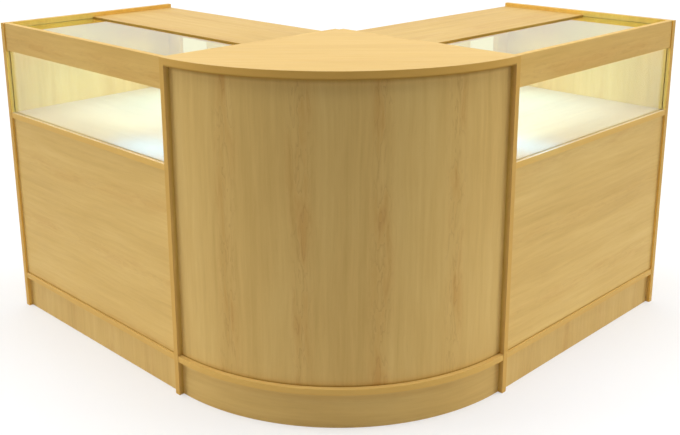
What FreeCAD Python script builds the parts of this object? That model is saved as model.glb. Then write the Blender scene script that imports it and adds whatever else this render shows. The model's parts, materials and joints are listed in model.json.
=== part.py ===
# Corner set of three shop-counter units: two half-glazed display counters at a
# right angle, joined by a quarter-round unit. Millimetres, +Z up. The origin is
# on the floor, at the middle of the set's outline.
import FreeCAD
import Part
import os

from FreeCAD import Vector

# Overall sizes of a straight unit
unit_height = 900.0
unit_depth = 600.0
leg_length = 810.0

# Boards
board = 16.0
corner_top_thickness = 20.0
bent_panel = 8.0

# Heights of the boards
plinth_height = 96.0
deck_height = 630.0
fascia_height = 80.0
rear_top_drop = 12.0
rear_top_reach = 298.0

# Set-backs from the front edges of the end panels
fascia_setback = 3.0
shelf_setback = 1.0
front_panel_setback = 6.0
plinth_setback = 12.0
rear_plinth_setback = 44.0
bent_front_setback = 14.0
bent_plinth_setback = 14.0

# Panes and their grooves
pane = 5.0
front_pane_setback = 11.0
top_pane_drop = 16.0
side_groove = 5.0
deck_groove = 6.0
fascia_groove = 8.0
pane_end_gap = 1.0
pane_lift_gap = 3.0
groove_clearance = 0.3

# Sliding doors and their double tracks
door = 5.0
door_overlap = 30.0
door_side_clearance = 0.4
door_end_clearance = 1.0
door_seat_clearance = 0.3
door_lift = 6.0
outer_door_open = 214.0
track_wall = 1.2
lower_track_height = 6.0
upper_track_height = 12.0
stile_width = 59.0

# Finger pulls
pull_radius = 15.0
pull_flange_radius = 18.0
pull_flange = 1.0
pull_recess_radius = 13.0
pull_recess_depth = 3.8
pull_clearance = 0.1
pull_margin = 8.0

# Lamp under the top, on the inner end panel
lamp_width = 24.0
lamp_depth = 20.0
lamp_length = 270.0
lamp_wall = 1.5
lamp_front_gap = 8.0
lamp_top_gap = 10.0
lamp_cap = 4.0
lamp_board = 1.6
lamp_board_margin = 2.0
diffuser = 2.0
diffuser_clearance = 0.1
switch_block_length = 36.0
inlet_radius = 2.75
inlet_depth = 9.0

# Rocker of the lamp's switch
rocker_length = 13.2
rocker_height = 9.2
rocker_end_rise = 3.6
rocker_waist_rise = 2.0
rocker_back = 1.6
rocker_tilt = 9.0
rocker_pivot_inset = 2.4
rocker_pocket_depth = 6.0
rocker_gap = 0.6
rocker_pin_radius = 1.0
rocker_pin_clearance = 0.1
rocker_pin_reach = 1.5

# Adjustable shelf on pegs
shelf_back_gap = 40.0
shelf_front_gap = 2.0
shelf_end_gap = 1.0
peg_radius = 2.5
peg_hole_depth = 9.0
peg_nose = 10.0
peg_nose_width = 8.0
peg_nose_height = 5.0
peg_front = 80.0
peg_rear = 480.0
peg_pitch = 32.0
peg_rows = 5
peg_clearance = 0.1

# Cam fittings
cam_radius = 7.5
cam_bore_depth = 12.5
cam_inset = 34.0
cam_edge = 60.0
cam_bolt_radius = 3.0
cam_bolt_seat = 10.0
cam_clearance = 0.2

# Screws between the units
screw_radius = 2.5
screw_head_radius = 6.0
screw_head = 3.0
screw_bite = 12.0
screw_clearance = 0.1
screw_edge = 120.0
screw_lift = 96.0

# Inside of the corner unit
cleat = 20.0
cleat_margin = 40.0
curve_clearance = 0.3
quarter_turn = 90.0

# Heights and depths that follow from the sizes above
base_top = plinth_height + board
deck_underside = deck_height - board
fascia_underside = unit_height - fascia_height
fascia_back = fascia_setback + board
rear_top_surface = unit_height - rear_top_drop
rear_top_underside = rear_top_surface - board
rear_top_front = unit_depth - rear_top_reach
front_panel_back = front_panel_setback + board
top_pane_surface = unit_height - top_pane_drop
run_inner = board
run_outer = leg_length - board
pane_run_start = run_inner - side_groove + pane_end_gap
pane_run_end = run_outer + side_groove - pane_end_gap
outline_shift = (leg_length - unit_depth) / 2.0

# Door layout
channel = door + 2.0 * door_side_clearance
track_depth = 3.0 * track_wall + 2.0 * channel
stile_front = unit_depth - board
track_front = stile_front - track_depth
inner_door_front = track_front + track_wall + door_side_clearance
outer_door_front = inner_door_front + channel + track_wall
door_width = (run_outer - run_inner + door_overlap) / 2.0
door_bottom = deck_height + track_wall + door_seat_clearance
door_top = rear_top_underside - track_wall - door_lift
pull_inset = stile_width + pull_flange_radius + pull_margin
pull_height = (door_bottom + door_top) / 2.0

# Lamp layout
lamp_run_end = run_inner + lamp_width
lamp_top = rear_top_underside - lamp_top_gap
lamp_bottom = lamp_top - lamp_depth
lamp_front = fascia_back + lamp_front_gap
lamp_rear = lamp_front + lamp_length
lamp_middle = lamp_bottom + lamp_depth / 2.0
rocker_depth = lamp_rear + switch_block_length / 2.0
rocker_run = lamp_run_end - rocker_pivot_inset

# Storage shelf layout
shelf_underside = base_top + (deck_underside - base_top - board) / 2.0
peg_height = shelf_underside - peg_nose_height / 2.0


# Solids in the coordinates of the right leg: run along the leg from the corner
# unit, depth from the front edges to the back, and height
def leg_point(run, depth, height):
    return Vector(run, depth - unit_depth, height)


def leg_box(run, depth, height):
    size = [pair[1] - pair[0] for pair in (run, depth, height)]
    return Part.makeBox(size[0], size[1], size[2], leg_point(run[0], depth[0], height[0]))


def rod_along_run(radius, run, depth, height):
    start = leg_point(run[0], depth, height)
    return Part.makeCylinder(radius, run[1] - run[0], start, Vector(1, 0, 0))


def rod_along_depth(radius, run, depth, height):
    start = leg_point(run, depth[0], height)
    return Part.makeCylinder(radius, depth[1] - depth[0], start, Vector(0, 1, 0))


def rod_upright(radius, run, depth, height):
    foot = leg_point(run, depth, height[0])
    return Part.makeCylinder(radius, height[1] - height[0], foot, Vector(0, 0, 1))


def leg_prism(profile, height):
    points = [leg_point(run, depth, height[0]) for run, depth in profile]
    face = Part.Face(Part.makePolygon(points + points[:1]))
    return face.extrude(Vector(0, 0, height[1] - height[0]))


def without(solid, cutters):
    return solid.cut(Part.makeCompound(cutters)).Solids[0]


# Placing and saving: the left leg is the right one mirrored in the plane that
# halves the corner
def placed(solid, side):
    if side == "left":
        solid = solid.mirror(Vector(0, 0, 0), Vector(1, -1, 0))
    moved = solid.copy()
    moved.translate(Vector(-outline_shift, -outline_shift, 0))
    return moved


def save(name, solids):
    shape = solids[0] if len(solids) == 1 else Part.makeCompound(solids)
    shape.exportStep("parts/" + name + ".step")


# Grooves that hold the panes
def front_pane_depth(clearance):
    return (front_pane_setback - clearance, front_pane_setback + pane + clearance)


def top_pane_height(clearance):
    return (top_pane_surface - pane - clearance, top_pane_surface + clearance)


def end_panel_grooves(run):
    upright = leg_box(run, front_pane_depth(groove_clearance),
                      (deck_height - deck_groove, fascia_underside + fascia_groove))
    level = leg_box(run, (fascia_back - side_groove, rear_top_front + side_groove),
                    top_pane_height(groove_clearance))
    return [upright, level]


# Cam fittings along the ends of a board whose middle lies at one height
def cam_places():
    decks = [(depth, deck_underside) for depth in (cam_edge, unit_depth - cam_edge)]
    bases = [(depth, plinth_height) for depth in (cam_edge, unit_depth - cam_edge)]
    tops = [(depth, rear_top_underside) for depth in (rear_top_front + cam_edge, unit_depth - cam_edge)]
    return decks + bases + tops


def cam_bores_in_board(underside):
    bores = []
    for depth, height in cam_places():
        if height != underside:
            continue
        for end, way in ((run_inner, 1.0), (run_outer, -1.0)):
            centre = end + way * cam_inset
            run = tuple(sorted((end, centre)))
            disc_height = (height, height + cam_bore_depth)
            bores.append(rod_upright(cam_radius + cam_clearance, centre, depth, disc_height))
            bores.append(rod_along_run(cam_bolt_radius + cam_clearance, run, depth, height + board / 2.0))
    return bores


def cam_bores_in_panel(run):
    return [rod_along_run(cam_bolt_radius + cam_clearance, run, depth, height + board / 2.0)
            for depth, height in cam_places()]


def cam_set():
    solids = []
    for depth, height in cam_places():
        for end, way in ((run_inner, 1.0), (run_outer, -1.0)):
            centre = end + way * cam_inset
            near = centre - way * (cam_radius + cam_clearance)
            run = tuple(sorted((end - way * cam_bolt_seat, near)))
            disc_height = (height, height + cam_bore_depth - cam_clearance)
            solids.append(rod_upright(cam_radius, centre, depth, disc_height))
            solids.append(rod_along_run(cam_bolt_radius, run, depth, height + board / 2.0))
    return solids


# Peg holes: two columns of rows in each end panel
def peg_holes(run):
    holes = []
    for row in range(peg_rows):
        height = peg_height + (row - peg_rows // 2) * peg_pitch
        for depth in (peg_front, peg_rear):
            holes.append(rod_along_run(peg_radius + peg_clearance, run, depth, height))
    return holes


def peg_set():
    pegs = []
    for depth in (peg_front, peg_rear):
        for end, way in ((run_inner, 1.0), (run_outer, -1.0)):
            pin = tuple(sorted((end - way * (peg_hole_depth - peg_clearance), end)))
            nose = tuple(sorted((end, end + way * peg_nose)))
            half = peg_nose_width / 2.0
            nose_height = (shelf_underside - peg_nose_height, shelf_underside)
            body = leg_box(nose, (depth - half, depth + half), nose_height)
            pegs.append(body.fuse(rod_along_run(peg_radius, pin, depth, peg_height)).Solids[0])
    return pegs


# Screws from the storage space of a leg into the corner unit
def screw_places():
    depths = (screw_edge, unit_depth - screw_edge)
    heights = (base_top + screw_lift, deck_underside - screw_lift)
    return [(depth, height) for depth in depths for height in heights]


def screw_holes(run, clearance):
    return [rod_along_run(screw_radius + clearance, run, depth, height) for depth, height in screw_places()]


def screw_set():
    screws = []
    for depth, height in screw_places():
        shank = rod_along_run(screw_radius, (-screw_bite, board), depth, height)
        head = rod_along_run(screw_head_radius, (board, board + screw_head), depth, height)
        screws.append(shank.fuse(head).Solids[0])
    return screws


# Carcass of a leg
def outer_end_panel():
    panel = leg_box((run_outer, leg_length), (0, unit_depth), (0, unit_height))
    cutters = end_panel_grooves((run_outer, run_outer + side_groove))
    cutters += cam_bores_in_panel((run_outer, run_outer + cam_bolt_seat))
    cutters += peg_holes((run_outer, run_outer + peg_hole_depth))
    return without(panel, cutters)


def inner_end_panel():
    panel = leg_box((0, run_inner), (0, unit_depth), (0, unit_height))
    cutters = end_panel_grooves((run_inner - side_groove, run_inner))
    cutters += cam_bores_in_panel((run_inner - cam_bolt_seat, run_inner))
    cutters += peg_holes((run_inner - peg_hole_depth, run_inner))
    cutters += screw_holes((0, run_inner), screw_clearance)
    return without(panel, cutters)


def fascia_rail():
    run = (run_inner, run_outer)
    rail = leg_box(run, (fascia_setback, fascia_back), (fascia_underside, unit_height))
    upright = leg_box(run, front_pane_depth(groove_clearance),
                      (fascia_underside, fascia_underside + fascia_groove))
    level = leg_box(run, (fascia_back - side_groove, fascia_back), top_pane_height(groove_clearance))
    return without(rail, [upright, level])


def display_deck():
    run = (run_inner, run_outer)
    deck = leg_box(run, (shelf_setback, unit_depth), (deck_underside, deck_height))
    groove = leg_box(run, front_pane_depth(groove_clearance), (deck_height - deck_groove, deck_height))
    return without(deck, [groove] + cam_bores_in_board(deck_underside))


def front_panel():
    height = (base_top, deck_underside)
    return leg_box((run_inner, run_outer), (front_panel_setback, front_panel_back), height)


def base_shelf():
    shelf = leg_box((run_inner, run_outer), (shelf_setback, unit_depth), (plinth_height, base_top))
    return without(shelf, cam_bores_in_board(plinth_height))


def plinth():
    return leg_box((run_inner, run_outer), (plinth_setback, plinth_setback + board), (0, plinth_height))


def rear_plinth():
    back = unit_depth - rear_plinth_setback
    return leg_box((run_inner, run_outer), (back - board, back), (0, plinth_height))


def rear_top():
    run = (run_inner, run_outer)
    top = leg_box(run, (rear_top_front, unit_depth), (rear_top_underside, rear_top_surface))
    groove = leg_box(run, (rear_top_front, rear_top_front + side_groove), top_pane_height(groove_clearance))
    return without(top, [groove] + cam_bores_in_board(rear_top_underside))


def storage_shelf():
    run = (run_inner + shelf_end_gap, run_outer - shelf_end_gap)
    depth = (front_panel_back + shelf_front_gap, unit_depth - shelf_back_gap)
    return leg_box(run, depth, (shelf_underside, shelf_underside + board))


# Panes
def front_glass():
    height = (deck_height - deck_groove, fascia_underside + fascia_groove - pane_lift_gap)
    return leg_box((pane_run_start, pane_run_end), front_pane_depth(0), height)


def top_glass():
    depth = (fascia_back - side_groove + pane_end_gap, rear_top_front + side_groove - pane_end_gap)
    return leg_box((pane_run_start, pane_run_end), depth, top_pane_height(0))


# Sliding doors behind the display
def door_track(foot, way, height):
    run = (run_inner, run_outer)
    lip = tuple(sorted((foot, foot + way * height)))
    blank = leg_box(run, (track_front, stile_front), lip)
    slot_height = tuple(sorted((foot + way * track_wall, foot + way * height)))
    slots = []
    for front in (inner_door_front, outer_door_front):
        slot_front = front - door_side_clearance
        slots.append(leg_box(run, (slot_front, slot_front + channel), slot_height))
    return without(blank, slots)


def lower_door_track():
    return door_track(deck_height, 1.0, lower_track_height)


def upper_door_track():
    return door_track(rear_top_underside, -1.0, upper_track_height)


def door_leaf(run_start, front, pull_run):
    leaf = leg_box((run_start, run_start + door_width), (front, front + door), (door_bottom, door_top))
    hole = rod_along_depth(pull_radius + pull_clearance, pull_run, (front, front + door), pull_height)
    return without(leaf, [hole])


def finger_pull(front, pull_run):
    back = front + door
    rim = back + pull_flange
    cup = rod_along_depth(pull_radius, pull_run, (front + pull_clearance, back), pull_height)
    flange = rod_along_depth(pull_flange_radius, pull_run, (back, rim), pull_height)
    recess = rod_along_depth(pull_recess_radius, pull_run, (rim - pull_recess_depth, rim), pull_height)
    return cup.fuse(flange).cut(recess).removeSplitter().Solids[0]


inner_door_run = run_inner + door_end_clearance
inner_pull_run = inner_door_run + pull_inset
outer_door_run = run_outer - door_end_clearance - door_width - outer_door_open
outer_pull_run = outer_door_run + door_width - pull_inset


def inner_door():
    return door_leaf(inner_door_run, inner_door_front, inner_pull_run)


def outer_door():
    return door_leaf(outer_door_run, outer_door_front, outer_pull_run)


def inner_door_pull():
    return finger_pull(inner_door_front, inner_pull_run)


def outer_door_pull():
    return finger_pull(outer_door_front, outer_pull_run)


def stile_pair():
    depth = (stile_front, unit_depth)
    height = (deck_height, rear_top_underside)
    runs = ((run_inner, run_inner + stile_width), (run_outer - stile_width, run_outer))
    return [leg_box(run, depth, height) for run in runs]


# Lamp: a channel with its light board, a diffuser below, a cap and a switch block
def lamp_housing():
    blank = leg_box((run_inner, lamp_run_end), (lamp_front, lamp_rear), (lamp_bottom, lamp_top))
    inside = leg_box((run_inner + lamp_wall, lamp_run_end - lamp_wall), (lamp_front, lamp_rear),
                     (lamp_bottom, lamp_top - lamp_wall))
    return without(blank, [inside])


def lamp_led_board():
    run = (run_inner + lamp_wall + lamp_board_margin, lamp_run_end - lamp_wall - lamp_board_margin)
    depth = (lamp_front + lamp_board_margin, lamp_rear - lamp_board_margin)
    ceiling = lamp_top - lamp_wall
    return leg_box(run, depth, (ceiling - lamp_board, ceiling))


def lamp_diffuser():
    inset = lamp_wall + diffuser_clearance
    run = (run_inner + inset, lamp_run_end - inset)
    return leg_box(run, (lamp_front, lamp_rear), (lamp_bottom, lamp_bottom + diffuser))


def lamp_front_cap():
    return leg_box((run_inner, lamp_run_end), (lamp_front - lamp_cap, lamp_front), (lamp_bottom, lamp_top))


def lamp_switch_block():
    rear = lamp_rear + switch_block_length
    block = leg_box((run_inner, lamp_run_end), (lamp_rear, rear), (lamp_bottom, lamp_top))
    half_length = rocker_length / 2.0 + rocker_gap
    half_height = rocker_height / 2.0 + rocker_gap
    pocket = leg_box((lamp_run_end - rocker_pocket_depth, lamp_run_end),
                     (rocker_depth - half_length, rocker_depth + half_length),
                     (lamp_middle - half_height, lamp_middle + half_height))
    reach = half_height + rocker_pin_reach
    pin_bore = rod_upright(rocker_pin_radius + rocker_pin_clearance, rocker_run, rocker_depth,
                           (lamp_middle - reach, lamp_middle + reach))
    inlet_run = run_inner + lamp_width / 2.0
    inlet = rod_along_depth(inlet_radius, inlet_run, (rear - inlet_depth, rear), lamp_middle)
    return without(block, [pocket, pin_bore, inlet])


def lamp_rocker():
    half = rocker_length / 2.0
    profile = [(rocker_run - rocker_back, rocker_depth - half),
               (rocker_run + rocker_end_rise, rocker_depth - half),
               (rocker_run + rocker_waist_rise, rocker_depth),
               (rocker_run + rocker_end_rise, rocker_depth + half),
               (rocker_run - rocker_back, rocker_depth + half)]
    half_height = rocker_height / 2.0
    body = leg_prism(profile, (lamp_middle - half_height, lamp_middle + half_height))
    reach = half_height + rocker_gap + rocker_pin_reach - rocker_pin_clearance
    pin_height = (lamp_middle - reach, lamp_middle + reach)
    pin = rod_upright(rocker_pin_radius, rocker_run, rocker_depth, pin_height)
    rocker = body.fuse(pin).Solids[0]
    rocker.rotate(leg_point(rocker_run, rocker_depth, lamp_middle), Vector(0, 0, 1), -rocker_tilt)
    return rocker


# Corner unit: quarter-round boards about the inner corner, in the quadrant where
# both plan coordinates are negative
def quarter_disc(radius, height):
    upward = Vector(0, 0, 1)
    disc = Part.makeCylinder(radius, height[1] - height[0], Vector(0, 0, height[0]), upward, quarter_turn)
    disc.rotate(Vector(0, 0, 0), upward, 2.0 * quarter_turn)
    return disc


def bent_board(radius, height):
    return quarter_disc(radius, height).cut(quarter_disc(radius - bent_panel, height)).Solids[0]


bent_front_radius = unit_depth - bent_front_setback
bent_plinth_radius = unit_depth - bent_plinth_setback
corner_top_underside = unit_height - corner_top_thickness


def corner_top():
    return quarter_disc(unit_depth, (corner_top_underside, unit_height))


def corner_base_shelf():
    return quarter_disc(unit_depth - shelf_setback, (plinth_height, base_top))


def corner_curved_front():
    return bent_board(bent_front_radius, (base_top, corner_top_underside))


def corner_curved_plinth():
    return bent_board(bent_plinth_radius, (0, plinth_height))


# Upright boards along the two straight sides: the right one runs to the inner
# corner and the left one butts against it
def right_side_board(radius, height):
    strip = Part.makeBox(board, unit_depth, height[1] - height[0], Vector(-board, -unit_depth, height[0]))
    return strip.common(quarter_disc(radius - bent_panel - curve_clearance, height)).Solids[0]


def left_side_board(radius, height):
    start = Vector(-unit_depth - board, -board, height[0])
    strip = Part.makeBox(unit_depth, board, height[1] - height[0], start)
    return strip.common(quarter_disc(radius - bent_panel - curve_clearance, height)).Solids[0]


def corner_right_side():
    panel = right_side_board(bent_front_radius, (base_top, corner_top_underside))
    return without(panel, screw_holes((-screw_bite - screw_clearance, 0), screw_clearance))


def corner_left_side():
    panel = left_side_board(bent_front_radius, (base_top, corner_top_underside))
    holes = Part.makeCompound(screw_holes((-screw_bite - screw_clearance, 0), screw_clearance))
    return without(panel, [holes.mirror(Vector(0, 0, 0), Vector(1, -1, 0))])


def corner_plinth_rails():
    height = (0, plinth_height)
    return [right_side_board(bent_plinth_radius, height), left_side_board(bent_plinth_radius, height)]


def corner_mid_former():
    middle = (base_top + corner_top_underside) / 2.0
    height = (middle - board / 2.0, middle + board / 2.0)
    disc = quarter_disc(bent_front_radius - bent_panel - curve_clearance, height)
    start = Vector(-unit_depth - board, -unit_depth - board, height[0])
    room = Part.makeBox(unit_depth, unit_depth, board, start)
    return disc.common(room).Solids[0]


def corner_cleats():
    length = bent_front_radius - bent_panel - 2.0 * cleat_margin - board - cleat
    foot = corner_top_underside - cleat
    near = board + cleat + cleat_margin
    right = Part.makeBox(cleat, length, cleat, Vector(-board - cleat, -near - length, foot))
    left = Part.makeBox(length, cleat, cleat, Vector(-near - length, -board - cleat, foot))
    return [right, left]


# The pieces that each leg has once, by the name they are saved under
leg_pieces = {
    "outer_end_panel": outer_end_panel,
    "inner_end_panel": inner_end_panel,
    "fascia_rail": fascia_rail,
    "display_deck": display_deck,
    "front_panel": front_panel,
    "base_shelf": base_shelf,
    "plinth": plinth,
    "rear_plinth": rear_plinth,
    "rear_top": rear_top,
    "storage_shelf": storage_shelf,
    "front_glass": front_glass,
    "top_glass": top_glass,
    "lower_door_track": lower_door_track,
    "upper_door_track": upper_door_track,
    "inner_door": inner_door,
    "outer_door": outer_door,
    "inner_door_pull": inner_door_pull,
    "outer_door_pull": outer_door_pull,
    "lamp_housing": lamp_housing,
    "lamp_diffuser": lamp_diffuser,
    "lamp_switch_block": lamp_switch_block,
    "lamp_rocker": lamp_rocker,
}

# Small repeated pieces of both legs, one group each
leg_groups = {
    "rear_stiles": stile_pair,
    "lamp_led_boards": lambda: [lamp_led_board()],
    "lamp_front_caps": lambda: [lamp_front_cap()],
    "shelf_pegs": peg_set,
    "cam_fittings": cam_set,
    "unit_connectors": screw_set,
}

corner_pieces = {
    "corner_top": lambda: [corner_top()],
    "corner_base_shelf": lambda: [corner_base_shelf()],
    "corner_curved_front": lambda: [corner_curved_front()],
    "corner_curved_plinth": lambda: [corner_curved_plinth()],
    "corner_right_side": lambda: [corner_right_side()],
    "corner_left_side": lambda: [corner_left_side()],
    "corner_mid_former": lambda: [corner_mid_former()],
    "corner_plinth_rails": corner_plinth_rails,
    "corner_cleats": corner_cleats,
}

os.makedirs("parts", exist_ok=True)

for piece_name, make_piece in leg_pieces.items():
    piece = make_piece()
    for leg in ("left", "right"):
        save(leg + "_" + piece_name, [placed(piece, leg)])

for group_name, make_group in leg_groups.items():
    group = make_group()
    save(group_name, [placed(solid, leg) for leg in ("left", "right") for solid in group])

for piece_name, make_pieces in corner_pieces.items():
    save(piece_name, [placed(solid, "right") for solid in make_pieces()])
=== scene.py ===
import bpy
import json
import math
from mathutils import Matrix, Vector


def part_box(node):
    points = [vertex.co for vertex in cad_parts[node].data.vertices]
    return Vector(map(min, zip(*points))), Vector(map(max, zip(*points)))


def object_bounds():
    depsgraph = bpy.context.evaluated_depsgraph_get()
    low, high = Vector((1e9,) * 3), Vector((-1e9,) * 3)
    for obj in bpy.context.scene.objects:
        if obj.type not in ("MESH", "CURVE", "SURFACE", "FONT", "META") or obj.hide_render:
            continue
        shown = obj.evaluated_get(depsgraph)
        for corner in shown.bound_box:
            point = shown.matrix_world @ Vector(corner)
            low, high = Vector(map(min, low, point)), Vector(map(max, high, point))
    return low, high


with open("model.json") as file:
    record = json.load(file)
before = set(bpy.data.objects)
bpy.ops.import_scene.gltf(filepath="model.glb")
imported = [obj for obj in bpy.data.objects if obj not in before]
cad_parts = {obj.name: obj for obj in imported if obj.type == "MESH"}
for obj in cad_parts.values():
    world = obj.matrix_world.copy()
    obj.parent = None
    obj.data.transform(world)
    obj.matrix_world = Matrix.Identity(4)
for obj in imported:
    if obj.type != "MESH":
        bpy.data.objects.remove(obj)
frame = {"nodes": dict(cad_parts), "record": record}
cadLow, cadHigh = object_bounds()
nodes = frame["nodes"]
slotOf = {row["node"]: row["material_slot"] for row in frame["record"]["subparts"]}

topLow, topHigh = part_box("corner_top")
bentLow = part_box("corner_curved_front")[0]
innerCorner = Vector((topHigh.x, topHigh.y, 0))  # the two legs and the quarter-round unit meet here
cornerRadius = topHigh.x - topLow.x
print("frame loaded:", len(nodes), "nodes")

# directions: along a leg away from the corner unit, back from its front, up, and across the corner
xWay, yWay, zWay = Vector((1, 0, 0)), Vector((0, 1, 0)), Vector((0, 0, 1))
inward = (xWay + yWay).normalized()    # from the corner unit's front to the inner corner
sideways = (xWay - yWay).normalized()  # to the right, seen from the front
ways = {
    "left": {"run": yWay, "depth": xWay, "up": zWay},
    "right": {"run": xWay, "depth": yWay, "up": zWay},
    "corner": {"run": xWay, "depth": yWay, "up": zWay, "diagonal": sideways},
}
legs = ("left", "right")


# small helpers for node trees
def linear(red, green, blue):
    def one(value):
        share = value / 255
        return share / 12.92 if share <= 0.04045 else ((share + 0.055) / 1.055) ** 2.4
    return (one(red), one(green), one(blue), 1)


def scaled(colour, factor):
    return tuple(min(1, factor * part) for part in colour[:3]) + (1,)


def addNode(tree, kind, fixed=None, **settings):
    node = tree.nodes.new(kind)
    for key, value in settings.items():
        setattr(node, key, value)
    for key, value in (fixed or {}).items():
        node.inputs[key].default_value = value
    return node


def join(tree, fromSocket, toSocket):
    tree.links.new(fromSocket, toSocket)


def feed(tree, value, socket):
    # links another node's socket, or sets a plain value
    if hasattr(value, "is_linked"):
        join(tree, value, socket)
    else:
        socket.default_value = value


def mathNode(tree, operation, *values):
    node = addNode(tree, "ShaderNodeMath", operation=operation)
    for place, value in enumerate(values):
        feed(tree, value, node.inputs[place])
    return node.outputs[0]


def vectorNode(tree, operation, first, second):
    node = addNode(tree, "ShaderNodeVectorMath", operation=operation)
    feed(tree, first, node.inputs[0])
    feed(tree, second, node.inputs[1])
    return node.outputs["Value" if operation == "DOT_PRODUCT" else "Vector"]


def spread(tree, value, low, high, newLow, newHigh):
    limits = {"From Min": low, "From Max": high, "To Min": newLow, "To Max": newHigh}
    node = addNode(tree, "ShaderNodeMapRange", limits, interpolation_type="SMOOTHSTEP")
    join(tree, value, node.inputs["Value"])
    return node.outputs["Result"]


def blendColour(tree, share, first, second, how="MIX"):
    node = addNode(tree, "ShaderNodeMix", data_type="RGBA", blend_type=how)
    for place, value in ((0, share), (6, first), (7, second)):  # sockets of the share and the colours
        feed(tree, value, node.inputs[place])
    return node.outputs[2]


def objectPlace(tree):
    return addNode(tree, "ShaderNodeTexCoord").outputs["Object"]


def facing(tree, side):
    surface = addNode(tree, "ShaderNodeNewGeometry")
    return vectorNode(tree, "DOT_PRODUCT", surface.outputs["True Normal"], side)


def addBump(tree, shader, height, strength, distance):
    bump = addNode(tree, "ShaderNodeBump", {"Strength": strength, "Distance": distance})
    join(tree, height, bump.inputs["Height"])
    join(tree, bump.outputs["Normal"], shader.inputs["Normal"])


def newMaterial(name):
    material = bpy.data.materials.new(name)
    material.use_nodes = True
    tree = material.node_tree
    tree.nodes.clear()
    shader = addNode(tree, "ShaderNodeBsdfPrincipled")
    output = addNode(tree, "ShaderNodeOutputMaterial")
    join(tree, shader.outputs["BSDF"], output.inputs["Surface"])
    return material, tree, shader


def dress(node, material):
    piece = nodes[node]
    piece.data.materials.clear()
    piece.data.materials.append(material)


# maple foil: one grain group that every board shares. Its vector is metres along
# the grain, across it and through the board
grain = {
    "wander": (2.6, 5.0, 5.0),       # bends the fibres
    "wanderReach": 0.030,
    "fibre": (7.0, 280.0, 280.0),    # lines a few millimetres wide
    "fleck": (8.0, 105.0, 105.0),    # short soft dashes
    "streak": (1.8, 42.0, 42.0),     # long bands
    "cloud": (1.6, 5.0, 5.0),        # slow change of tone over a board
    "shares": {"fibre": 0.07, "fleck": 0.17, "streak": 0.30, "cloud": 0.36},
    "pore": (26.0, 620.0, 620.0),    # short dark ticks
    "poreLevels": (0.62, 0.74),
    "poreDepth": 0.6,
    "flame": (5.5, 30.0, 30.0),      # warm blotches, in columns along the grain
    "flameLevels": (0.44, 0.68),
    "flameColumn": 0.098,            # half the distance between two columns
    "flameReach": 0.042,             # how far a column spreads to each side
    "flameRings": 8.0,               # thin lines round the blotches
    "ringSharpness": 5.0,
    "noiseRoughness": 0.55,
}
noiseMiddle = 0.5
noiseRange = (0.2, 0.8)  # nearly all values of a noise lie in it


def scaledNoise(tree, vector, scale, detail=2):
    settings = {"Scale": 1.0, "Detail": detail, "Roughness": grain["noiseRoughness"]}
    noise = addNode(tree, "ShaderNodeTexNoise", settings)
    join(tree, vectorNode(tree, "MULTIPLY", vector, scale), noise.inputs["Vector"])
    return noise.outputs["Fac"]


def wanderingVector(tree, vector):
    drift = mathNode(tree, "SUBTRACT", scaledNoise(tree, vector, grain["wander"], detail=3), noiseMiddle)
    across = addNode(tree, "ShaderNodeCombineXYZ")
    join(tree, mathNode(tree, "MULTIPLY", drift, grain["wanderReach"]), across.inputs["Y"])
    return vectorNode(tree, "ADD", vector, across.outputs[0])


def flameColumns(tree, vector):
    # the heart of a log, cut nearly along its length: blotches with thin rings, in columns
    parts = addNode(tree, "ShaderNodeSeparateXYZ")
    join(tree, vector, parts.inputs[0])
    fromColumn = mathNode(tree, "PINGPONG", parts.outputs["Y"], grain["flameColumn"])
    near = spread(tree, fromColumn, 0, grain["flameReach"], 1, 0)
    blotch = scaledNoise(tree, vector, grain["flame"], detail=3)
    warm = spread(tree, blotch, *grain["flameLevels"], 0, 1)
    steps = mathNode(tree, "FRACT", mathNode(tree, "MULTIPLY", blotch, grain["flameRings"]))
    ring = mathNode(tree, "POWER", steps, grain["ringSharpness"])
    return mathNode(tree, "MULTIPLY", warm, near), mathNode(tree, "MULTIPLY", ring, near)


def makeGrainGroup():
    tree = bpy.data.node_groups.new("mapleGrain", "ShaderNodeTree")
    tree.interface.new_socket("Board", in_out="INPUT", socket_type="NodeSocketVector")
    for name in ("Tone", "Flame", "Ring", "Pore", "Relief"):
        tree.interface.new_socket(name, in_out="OUTPUT", socket_type="NodeSocketFloat")
    start = addNode(tree, "NodeGroupInput")
    end = addNode(tree, "NodeGroupOutput")
    vector = wanderingVector(tree, start.outputs["Board"])
    layers = {name: scaledNoise(tree, vector, grain[name]) for name in grain["shares"]}
    tone = noiseMiddle
    for name, value in layers.items():
        swing = mathNode(tree, "SUBTRACT", value, noiseMiddle)
        tone = mathNode(tree, "MULTIPLY_ADD", swing, grain["shares"][name], tone)
    flame, ring = flameColumns(tree, vector)
    ticks = scaledNoise(tree, vector, grain["pore"], detail=1)
    pore = spread(tree, ticks, *grain["poreLevels"], 0, 1)
    poreDip = mathNode(tree, "MULTIPLY", pore, grain["poreDepth"])
    relief = mathNode(tree, "SUBTRACT", layers["fibre"], poreDip)
    results = {"Tone": tone, "Flame": flame, "Ring": ring, "Pore": pore, "Relief": relief}
    for name, value in results.items():
        join(tree, value, end.inputs[name])
    return tree


grainGroup = makeGrainGroup()


def flatBoardVector(tree, along, through, offset):
    place = objectPlace(tree)
    parts = addNode(tree, "ShaderNodeCombineXYZ")
    for slot, axis in enumerate((along, through.cross(along), through)):
        join(tree, vectorNode(tree, "DOT_PRODUCT", place, axis), parts.inputs[slot])
    return vectorNode(tree, "ADD", parts.outputs[0], offset)


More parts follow.
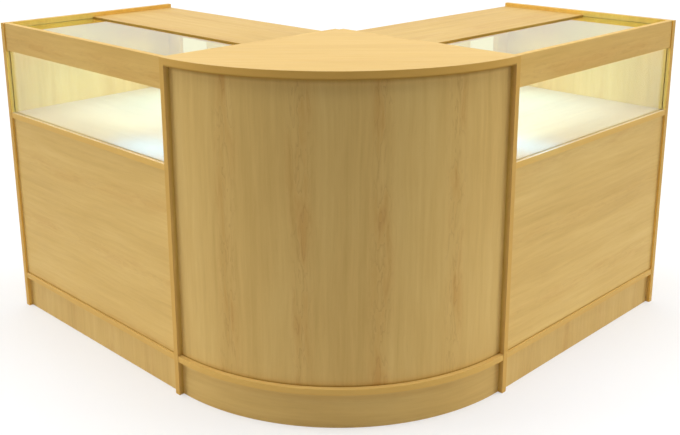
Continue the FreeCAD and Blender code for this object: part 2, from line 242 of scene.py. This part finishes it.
def bentBoardVector(tree, upright, offset):
    # unrolls the quarter round about the inner corner
    parts = addNode(tree, "ShaderNodeSeparateXYZ")
    join(tree, vectorNode(tree, "SUBTRACT", objectPlace(tree), innerCorner), parts.inputs[0])
    forward = mathNode(tree, "MULTIPLY", parts.outputs["Y"], -1.0)
    leftward = mathNode(tree, "MULTIPLY", parts.outputs["X"], -1.0)
    around = mathNode(tree, "MULTIPLY", mathNode(tree, "ARCTAN2", forward, leftward), cornerRadius)
    flat = addNode(tree, "ShaderNodeCombineXYZ")
    join(tree, parts.outputs["Z"] if upright else around, flat.inputs[0])
    join(tree, around if upright else parts.outputs["Z"], flat.inputs[1])
    return vectorNode(tree, "ADD", flat.outputs[0], offset)


maple = {
    "dark": linear(205, 166, 92),
    "middle": linear(221, 184, 109),
    "light": linear(232, 199, 125),
    "toneSteps": {"dark": 0.30, "middle": 0.50, "light": 0.70},
    "flameShade": linear(206, 152, 76),
    "ringShade": linear(176, 124, 66),
    "ringShare": 0.6,                # of the flame's own share
    "poreShade": linear(176, 134, 72),
    "poreShare": 0.12,
    # painted lamp light: the pale cream of the decks under the display lamps
    "paintedLampCream": linear(212, 206, 176),
    "edgeBand": linear(217, 169, 80),
    "shelfBand": linear(225, 180, 92),
    # painted light: the deck's front edge band is lighter than the other bands so that it shows lit
    "paintedLitDeckBand": linear(243, 196, 90),
    "bandShare": 0.85,
    "aside": (0.3, 0.8),             # how squarely a face looks a given way: not yet, and in full
    "upward": (0.5, 0.9),
    "roughLow": 0.40,
    "roughHigh": 0.54,
    "shine": 0.2,
    "reliefHeight": 0.00012,
    "reliefStrength": 0.5,
}

# boards whose grain shows less: share and colour laid over it. On the display decks the cream wash is
# painted lamp light, the pale look of the lamp-lit deck
washes = {
    "right_display_deck": (0.4, "paintedLampCream"),
    "left_display_deck": (0.4, "paintedLampCream"),
    "corner_top": (0.5, "middle"),
}

# darker or brighter lines along joints, painted shade and painted light: contact shadows under the tops,
# over the shelves, in the nooks beside the bent front and at the pane feet, and lamp light on the outer
# end panel strips and the deck lips
paintedSeamShades = {
    # painted contact shadow
    "dark": (0.60, 0.54, 0.33, 1),
    # painted shade in the nooks beside the bent front
    "nookShade": (0.84, 0.81, 0.56, 1),
    # painted lamp light on the outer end panel strips
    "warm": (1.30, 1.20, 0.75, 1),
    # painted shadow at the pane foot
    "paneFootShadow": (0.33, 0.34, 0.34, 1),
    # painted light on the deck lip in front of the pane
    "lip": (1.35, 1.30, 1.15, 1),
}
paintedSeamReach = {
    "topEdge": 0.005,
    "underTop": 0.014,
    "overShelf": 0.006,
    "bentEnd": 0.009,
    "innerPanel": 0.013,
    "outerPanelTop": 0.030,
    "outerPanelFront": 0.014,
    "paneFootShadow": 0.005,
    "lip": 0.010,
}


# a painted seam: direction across it, its place, its reach, the side that shows it, its painted shadow,
# nook shade or lamp light
def legPaintedSeams(leg):
    run, depth = ways[leg]["run"], ways[leg]["depth"]
    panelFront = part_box(leg + "_outer_end_panel")[0].dot(depth)
    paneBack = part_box(leg + "_front_glass")[1].dot(depth)
    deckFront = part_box(leg + "_display_deck")[0].dot(depth)
    return {
        # painted shade in the nook between the inner end panel and the bent front
        leg + "_inner_end_panel": [(depth, bentLow.dot(depth), paintedSeamReach["innerPanel"], -run, "nookShade")],
        # painted lamp light on the outer end panel's strips above and in front of the pane
        leg + "_outer_end_panel": [
            (zWay, topHigh.z, paintedSeamReach["outerPanelTop"], -run, "warm"),
            (depth, panelFront, paintedSeamReach["outerPanelFront"], -run, "warm"),
        ],
        # painted shadow along the front panel's foot over the shelf
        leg + "_front_panel": [(zWay, bentLow.z, paintedSeamReach["overShelf"], -depth, "dark")],
        # painted shadow at the pane's foot, and painted light on the deck's lip in front of it
        leg + "_display_deck": [
            (depth, paneBack, paintedSeamReach["paneFootShadow"], zWay, "paneFootShadow"),
            (depth, deckFront, paintedSeamReach["lip"], zWay, "lip"),
        ],
    }


paintedSeams = {
    # painted shadow along the bottom of the corner top's edge
    "corner_top": [(zWay, topLow.z, paintedSeamReach["topEdge"], None, "dark")],
    # painted shadow under the corner top and over the shelf, and painted shade in the nooks at the bent
    # front's ends
    "corner_curved_front": [
        (zWay, topLow.z, paintedSeamReach["underTop"], None, "dark"),
        (zWay, bentLow.z, paintedSeamReach["overShelf"], None, "dark"),
        (xWay, innerCorner.x, paintedSeamReach["bentEnd"], None, "nookShade"),
        (yWay, innerCorner.y, paintedSeamReach["bentEnd"], None, "nookShade"),
    ],
    **legPaintedSeams("left"),
    **legPaintedSeams("right"),
}


# paints a seam's shadow, nook shade or lamp light into the board's colour
def paintSeamLightAndShade(tree, colour, axis, place, reach, side, shade):
    across = vectorNode(tree, "DOT_PRODUCT", objectPlace(tree), axis)
    away = mathNode(tree, "ABSOLUTE", mathNode(tree, "SUBTRACT", across, place))
    share = spread(tree, away, 0, reach, 1, 0)
    if side is not None:
        shown = spread(tree, facing(tree, side), *maple["aside"], 0, 1)
        share = mathNode(tree, "MULTIPLY", share, shown)
    return blendColour(tree, share, colour, paintedSeamShades[shade], "MULTIPLY")


def figuredMaple(tree, group, figure):
    ramp = addNode(tree, "ShaderNodeValToRGB")
    steps = maple["toneSteps"]
    first, last = ramp.color_ramp.elements
    first.position = steps["dark"]
    first.color = maple["dark"]
    last.position = steps["light"]
    last.color = maple["light"]
    ramp.color_ramp.elements.new(steps["middle"]).color = maple["middle"]
    join(tree, group.outputs["Tone"], ramp.inputs["Fac"])
    colour = ramp.outputs["Color"]
    shares = {"flame": figure, "ring": maple["ringShare"] * figure, "pore": maple["poreShare"]}
    for name, most in shares.items():
        share = mathNode(tree, "MULTIPLY", group.outputs[name.capitalize()], most)
        colour = blendColour(tree, share, colour, maple[name + "Shade"])
    return colour


def bandShare(tree, through):
    # edge bands: faces that look neither along the board's thickness nor up
    level = mathNode(tree, "ABSOLUTE", facing(tree, through))
    aside = spread(tree, level, *maple["aside"], maple["bandShare"], 0)
    return mathNode(tree, "MULTIPLY", aside, spread(tree, facing(tree, zWay), *maple["upward"], 1, 0))


def mapleMaterial(board, boardVector, figure, paintedLightTint=None, through=None, band=None):
    material, tree, shader = newMaterial("maple_" + board)
    group = addNode(tree, "ShaderNodeGroup", node_tree=grainGroup)
    join(tree, boardVector(tree), group.inputs["Board"])
    colour = figuredMaple(tree, group, figure)
    if board in washes:
        share, wash = washes[board]
        colour = blendColour(tree, share, colour, maple[wash])
    if band is not None:
        colour = blendColour(tree, bandShare(tree, through), colour, maple[band])
    # painted light: the board's colour tinted the way the light fell on it
    if paintedLightTint is not None:
        colour = blendColour(tree, 1.0, colour, paintedLightTint, "MULTIPLY")
    # painted shade and painted light along the board's seams
    for seam in paintedSeams.get(board, []):
        colour = paintSeamLightAndShade(tree, colour, *seam)
    join(tree, colour, shader.inputs["Base Color"])
    relief = group.outputs["Relief"]
    rough = spread(tree, relief, *noiseRange, maple["roughHigh"], maple["roughLow"])
    join(tree, rough, shader.inputs["Roughness"])
    shader.inputs["Specular IOR Level"].default_value = maple["shine"]
    addBump(tree, shader, relief, maple["reliefStrength"], maple["reliefHeight"])
    return material


boardStep = Vector((0.83, 0.37, 0.19))  # moves each board to its own stretch of the grain


def dressFlat(node, unit, count, along, through, figure, paintedLightTint, band):
    alongAxis = ways[unit][along]
    throughAxis = ways[unit][through]

    def boardVector(tree):
        return flatBoardVector(tree, alongAxis, throughAxis, boardStep * count)

    dress(node, mapleMaterial(node, boardVector, figure, paintedLightTint, throughAxis, band))


def dressBent(node, count, upright, figure):
    # the columns of the bent front stand even about its middle
    columnShift = grain["flameColumn"] - cornerRadius * math.pi / 4

    def boardVector(tree):
        return bentBoardVector(tree, upright, Vector((boardStep.x * count, columnShift, 0)))

    dress(node, mapleMaterial(node, boardVector, figure))


# boards: grain direction, the way through the board, how lively the figure is, tint, edge band. The
# tints on the fascia, deck, front panel and rear top are painted light, copying how the light fell on
# those boards
legBoards = {
    "outer_end_panel": ("up", "run", 0.25, None, "edgeBand"),
    "inner_end_panel": ("up", "run", 0.25, None, "edgeBand"),
    "fascia_rail": ("run", "depth", 0.3, (1.04, 1.0, 0.87, 1), "edgeBand"),
    "display_deck": ("run", "up", 0.25, (0.93, 0.905, 0.975, 1), "paintedLitDeckBand"),
    "front_panel": ("run", "depth", 0.25, (1.06, 1.06, 1.04, 1), "edgeBand"),
    "base_shelf": ("run", "up", 0.25, None, "shelfBand"),
    "plinth": ("up", "depth", 0.3, None, "edgeBand"),
    "rear_plinth": ("run", "depth", 0.3, None, "edgeBand"),
    "rear_top": ("run", "up", 0.3, (0.9, 0.89, 0.86, 1), "edgeBand"),
    "storage_shelf": ("run", "up", 0.25, None, "edgeBand"),
    "inner_door": ("up", "depth", 0.3, None, "edgeBand"),
    "outer_door": ("up", "depth", 0.3, None, "edgeBand"),
}
cornerBoards = {
    "corner_top": ("diagonal", "up", 0.25, None, "edgeBand"),
    "corner_base_shelf": ("diagonal", "up", 0.25, None, "shelfBand"),
    "corner_right_side": ("up", "run", 0.25, None, None),
    "corner_left_side": ("up", "depth", 0.3, None, None),
    "corner_mid_former": ("run", "up", 0.25, None, None),
    "corner_plinth_rails": ("run", "up", 0.25, None, None),
    "corner_cleats": ("run", "up", 0.25, None, None),
    "rear_stiles": ("up", "run", 0.25, None, None),
}
# bent sheets: whether the grain stands upright, how lively the figure is
bentBoards = {"corner_curved_front": (True, 0.6), "corner_curved_plinth": (False, 0.3)}

boardCount = 0
for leg in legs:
    for board, finish in legBoards.items():
        boardCount += 1
        dressFlat(leg + "_" + board, leg, boardCount, *finish)
print("leg boards dressed:", boardCount)
for board, finish in cornerBoards.items():
    boardCount += 1
    dressFlat(board, "corner", boardCount, *finish)
for board, finish in bentBoards.items():
    boardCount += 1
    dressBent(board, boardCount, *finish)
print("corner boards dressed, boards in all:", boardCount)

# panes
paneGlass = {
    "front_glass": linear(250, 252, 251),
    # painted light: the faint yellow of the top panes copies the warm display light seen through them
    "top_glass": linear(236, 234, 179),
    "thinWay": {"front_glass": "depth", "top_glass": "up"},
    "broadFrom": 0.5,            # faces that look this squarely along it are the broad sides
    "bend": 1.38,
    "edge": linear(38, 58, 44),  # the green of the sheet, seen through its cut edges
    "edgeLift": 1.8,
    "edgeWaves": (60.0, 60.0, 60.0),
    "edgeRough": (0.25, 0.4),
}


def glassMaterial(pane):
    material, tree, shader = newMaterial("clear_" + pane)
    shader.inputs["Base Color"].default_value = paneGlass[pane]
    shader.inputs["Transmission Weight"].default_value = 1.0
    shader.inputs["IOR"].default_value = paneGlass["bend"]
    shader.inputs["Roughness"].default_value = 0.0
    return material


def cutEdgeMaterial():
    material, tree, shader = newMaterial("paneEdge")
    waves = scaledNoise(tree, objectPlace(tree), paneGlass["edgeWaves"])
    lighter = scaled(paneGlass["edge"], paneGlass["edgeLift"])
    join(tree, blendColour(tree, waves, paneGlass["edge"], lighter), shader.inputs["Base Color"])
    join(tree, spread(tree, waves, *noiseRange, *paneGlass["edgeRough"]), shader.inputs["Roughness"])
    return material


cutEdge = cutEdgeMaterial()
for pane, thinWay in paneGlass["thinWay"].items():
    glass = glassMaterial(pane)
    for leg in legs:
        sheet = nodes[leg + "_" + pane]
        dress(leg + "_" + pane, glass)
        sheet.data.materials.append(cutEdge)
        for face in sheet.data.polygons:
            isBroad = abs(face.normal.dot(ways[leg][thinWay])) > paneGlass["broadFrom"]
            face.material_index = 0 if isBroad else 1
        sheet.visible_shadow = False  # lets the studio light into the display

# plastics and metals: colour, roughness, metal or not
plainFinishes = {
    "track_plastic": (linear(206, 176, 124), 0.5, 0.0),
    "pull_plastic": (linear(150, 112, 66), 0.35, 0.0),
    "lamp_aluminium": (linear(205, 207, 210), 0.35, 1.0),
    "lamp_plastic": (linear(232, 232, 229), 0.4, 0.0),
    "rocker_plastic": (linear(30, 30, 32), 0.3, 0.0),
    "led_board": (linear(238, 240, 238), 0.5, 0.0),
    "cam_zinc": (linear(176, 176, 172), 0.4, 1.0),
    "fixing_steel": (linear(190, 190, 188), 0.3, 1.0),
}
mottleSettings = {
    "scale": (400.0, 400.0, 400.0),
    "shade": 0.86,
    "smoother": 0.06,
    "rougher": 0.08,
    "reliefStrength": 0.3,
    "reliefHeight": 0.00008,
}


def plainMaterial(slot, colour, rough, metal):
    material, tree, shader = newMaterial(slot + "_finish")
    mottle = scaledNoise(tree, objectPlace(tree), mottleSettings["scale"], detail=3)
    shaded = scaled(colour, mottleSettings["shade"])
    join(tree, blendColour(tree, mottle, colour, shaded), shader.inputs["Base Color"])
    roughRange = (rough - mottleSettings["smoother"], rough + mottleSettings["rougher"])
    join(tree, spread(tree, mottle, *noiseRange, *roughRange), shader.inputs["Roughness"])
    shader.inputs["Metallic"].default_value = metal
    addBump(tree, shader, mottle, mottleSettings["reliefStrength"], mottleSettings["reliefHeight"])
    return material


for slot, finish in plainFinishes.items():
    material = plainMaterial(slot, *finish)
    for node, slotHere in slotOf.items():
        if slotHere == slot:
            dress(node, material)

# lamps in the displays: the diffuser, and the soft light of the lamp and of the boards that it lights
lampLight = {
    "opal": linear(245, 246, 248),
    "opalShade": linear(226, 228, 231),
    "opalRough": (0.35, 0.55),
    "frost": (500.0, 500.0, 500.0),
    "frostStrength": 0.3,
    "frostHeight": 0.0001,
    "glow": linear(250, 252, 255),
    "glowStrength": 10.0,
    "spill": {
        "overDeck": {
            "run": (0.05, 0.79), "depth": (0.12, 0.38), "height": 0.856,
            "outward": 0.0, "spread": 130.0, "power": 1.05, "colour": (0.05, 0.36, 1.0),
        },
        "overBack": {
            "run": (0.05, 0.74), "depth": (0.34, 0.57), "height": 0.856,
            "outward": 0.0, "spread": 125.0, "power": 2.6, "colour": (0.43, 0.70, 1.0),
        },
        "fromEnd": {
            "run": (0.04, 0.10), "depth": (0.03, 0.30), "height": 0.840,
            "outward": 4.0, "spread": 60.0, "power": 0.47, "colour": (0.45, 0.79, 1.0),
        },
        "pool": {
            "run": (0.025, 0.27), "depth": (0.02, 0.11), "height": 0.770,
            "outward": 0.1, "spread": 100.0, "power": 0.34, "colour": (0.01, 0.30, 1.0),
        },
    },
}


def opalMaterial():
    material, tree, shader = newMaterial("opalDiffuser")
    frost = scaledNoise(tree, objectPlace(tree), lampLight["frost"])
    frosted = blendColour(tree, frost, lampLight["opal"], lampLight["opalShade"])
    join(tree, frosted, shader.inputs["Base Color"])
    join(tree, spread(tree, frost, *noiseRange, *lampLight["opalRough"]), shader.inputs["Roughness"])
    addBump(tree, shader, frost, lampLight["frostStrength"], lampLight["frostHeight"])
    shader.inputs["Emission Color"].default_value = lampLight["glow"]
    shader.inputs["Emission Strength"].default_value = lampLight["glowStrength"]
    return material


opal = opalMaterial()
for leg in legs:
    dress(leg + "_lamp_diffuser", opal)
print("panes, plastics and lamps dressed")

# floor, world and studio lamps
studio = {
    "floorSize": 60.0,
    "floorDrop": 0.0005,
    "floorNear": linear(230, 230, 229),
    "floorFar": linear(138, 138, 138),
    "floorSeen": linear(196, 196, 196),  # what the camera gets of it, so that the shadow stays light
    "floorFade": (1.6, 3.2),             # metres from the middle
    "floorGlow": (0.42, 0.78),           # seen only, lights nothing: near and far
    "floorRough": 0.9,
    "sky": 0.08,                         # what the world adds all round
    "sunDistance": 4.0,
    "overhead": {"strength": 2.6, "softness": 60.0, "lift": 90.0, "turn": 0.0},
    "sides": {"strength": 1.75, "softness": 40.0, "lift": 15.0, "turn": 100.0},
}
white = (1, 1, 1, 1)


def seenRays(tree):
    path = addNode(tree, "ShaderNodeLightPath")
    seen = mathNode(tree, "MAXIMUM", path.outputs["Is Camera Ray"], path.outputs["Is Glossy Ray"])
    return mathNode(tree, "MAXIMUM", seen, path.outputs["Is Transmission Ray"])


def makeFloor():
    half = studio["floorSize"] / 2
    corners = [(-half, -half, 0), (half, -half, 0), (half, half, 0), (-half, half, 0)]
    mesh = bpy.data.meshes.new("floor")
    mesh.from_pydata(corners, [], [(0, 1, 2, 3)])
    floor = bpy.data.objects.new("floor", mesh)
    bpy.context.scene.collection.objects.link(floor)
    floor.location.z = cadLow.z - studio["floorDrop"]
    material, tree, shader = newMaterial("paleFloor")
    reach = addNode(tree, "ShaderNodeVectorMath", operation="LENGTH")
    join(tree, objectPlace(tree), reach.inputs[0])
    fromMiddle = reach.outputs["Value"]
    seen = seenRays(tree)
    near = blendColour(tree, seen, studio["floorNear"], studio["floorSeen"])
    fade = spread(tree, fromMiddle, *studio["floorFade"], 0, 1)
    join(tree, blendColour(tree, fade, near, studio["floorFar"]), shader.inputs["Base Color"])
    shader.inputs["Roughness"].default_value = studio["floorRough"]
    shader.inputs["Specular IOR Level"].default_value = 0.0
    shader.inputs["Emission Color"].default_value = white
    glow = spread(tree, fromMiddle, *studio["floorFade"], *studio["floorGlow"])
    join(tree, mathNode(tree, "MULTIPLY", seen, glow), shader.inputs["Emission Strength"])
    mesh.materials.append(material)


def makeWorld():
    world = bpy.data.worlds.new("studio")
    bpy.context.scene.world = world
    world.use_nodes = True
    tree = world.node_tree
    tree.nodes.clear()
    dimmed = mathNode(tree, "MULTIPLY_ADD", seenRays(tree), 1.0 - studio["sky"], studio["sky"])
    back = addNode(tree, "ShaderNodeBackground", {"Color": white})
    join(tree, dimmed, back.inputs["Strength"])
    output = addNode(tree, "ShaderNodeOutputWorld")
    join(tree, back.outputs[0], output.inputs["Surface"])


def addLamp(name, kind, place, target):
    holder = bpy.data.objects.new(name, bpy.data.lights.new(name, kind))
    holder.location = place
    holder.rotation_mode = "QUATERNION"
    holder.rotation_quaternion = (target - place).to_track_quat("-Z", "Y")
    holder.visible_glossy = False        # the panes mirror the white room, not the lamps
    holder.visible_transmission = False
    bpy.context.scene.collection.objects.link(holder)
    return holder


def sunFrom(name, side, setting):
    # its turn is counted from the corner unit's front, to the right for side 1
    turn = math.radians(side * setting["turn"])
    lift = math.radians(setting["lift"])
    level = sideways * math.sin(turn) - inward * math.cos(turn)
    toLamp = level * math.cos(lift) + zWay * math.sin(lift)
    lamp = addLamp(name, "SUN", toLamp * studio["sunDistance"], Vector((0, 0, 0))).data
    lamp.energy = setting["strength"]
    lamp.angle = math.radians(setting["softness"])


def legPlace(leg, run, depth, height):
    # metres along the leg from the corner unit, back from its front, and up
    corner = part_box(leg + "_inner_end_panel")[0]
    return Vector((corner.x, corner.y, height)) + ways[leg]["run"] * run + ways[leg]["depth"] * depth


def lightDisplay(leg):
    for part, spill in lampLight["spill"].items():
        (runLow, runHigh), (depthLow, depthHigh) = spill["run"], spill["depth"]
        middle = legPlace(leg, (runLow + runHigh) / 2, (depthLow + depthHigh) / 2, spill["height"])
        aim = ways[leg]["run"] * spill["outward"] - zWay
        holder = addLamp(leg + part[0].upper() + part[1:], "AREA", middle, middle + aim)
        holder.visible_camera = False
        lamp = holder.data
        lamp.shape = "RECTANGLE"
        long, deep = runHigh - runLow, depthHigh - depthLow
        lamp.size, lamp.size_y = (deep, long) if leg == "left" else (long, deep)
        lamp.spread = math.radians(spill["spread"])
        lamp.energy = spill["power"]
        lamp.color = spill["colour"]


makeFloor()
makeWorld()
sunFrom("overhead", 1, studio["overhead"])
for leg in legs:
    lightDisplay(leg)
for name, side in (("leftSide", -1), ("rightSide", 1)):
    sunFrom(name, side, studio["sides"])
print("studio set")

# camera: placed from the inner corner, looking along the line that halves it
view = {
    "standBack": 2.7436,
    "standSide": -0.0136,
    "eyeHeight": 1.3292,
    "turn": 0.0055,
    "tilt": -0.2673,
    "roll": -0.003,
    "focalPixels": 983.1465,
    "imageWide": 680,
    "imageHigh": 435,
    "centreRow": 140.0,
    "sensorWide": 36.0,
}


def makeCamera():
    place = innerCorner - inward * view["standBack"] + sideways * view["standSide"]
    place += zWay * view["eyeHeight"]
    level = inward * math.cos(view["turn"]) + sideways * math.sin(view["turn"])
    forward = level * math.cos(view["tilt"]) + zWay * math.sin(view["tilt"])
    flatRight = sideways * math.cos(view["turn"]) - inward * math.sin(view["turn"])
    flatUp = flatRight.cross(forward)
    rolledRight = flatRight * math.cos(view["roll"]) + flatUp * math.sin(view["roll"])
    rolledUp = flatUp * math.cos(view["roll"]) - flatRight * math.sin(view["roll"])
    camera = bpy.data.cameras.new("camera")
    camera.sensor_fit = "HORIZONTAL"
    camera.sensor_width = view["sensorWide"]
    camera.lens = view["focalPixels"] * view["sensorWide"] / view["imageWide"]
    camera.shift_y = (view["centreRow"] - view["imageHigh"] / 2) / view["imageWide"]
    holder = bpy.data.objects.new("camera", camera)
    turned = Matrix((rolledRight, rolledUp, -forward)).transposed().to_4x4()
    holder.matrix_world = Matrix.Translation(place) @ turned
    bpy.context.scene.collection.objects.link(holder)
    bpy.context.scene.camera = holder


makeCamera()
bpy.context.scene.view_settings.view_transform = "Standard"
print("camera set")
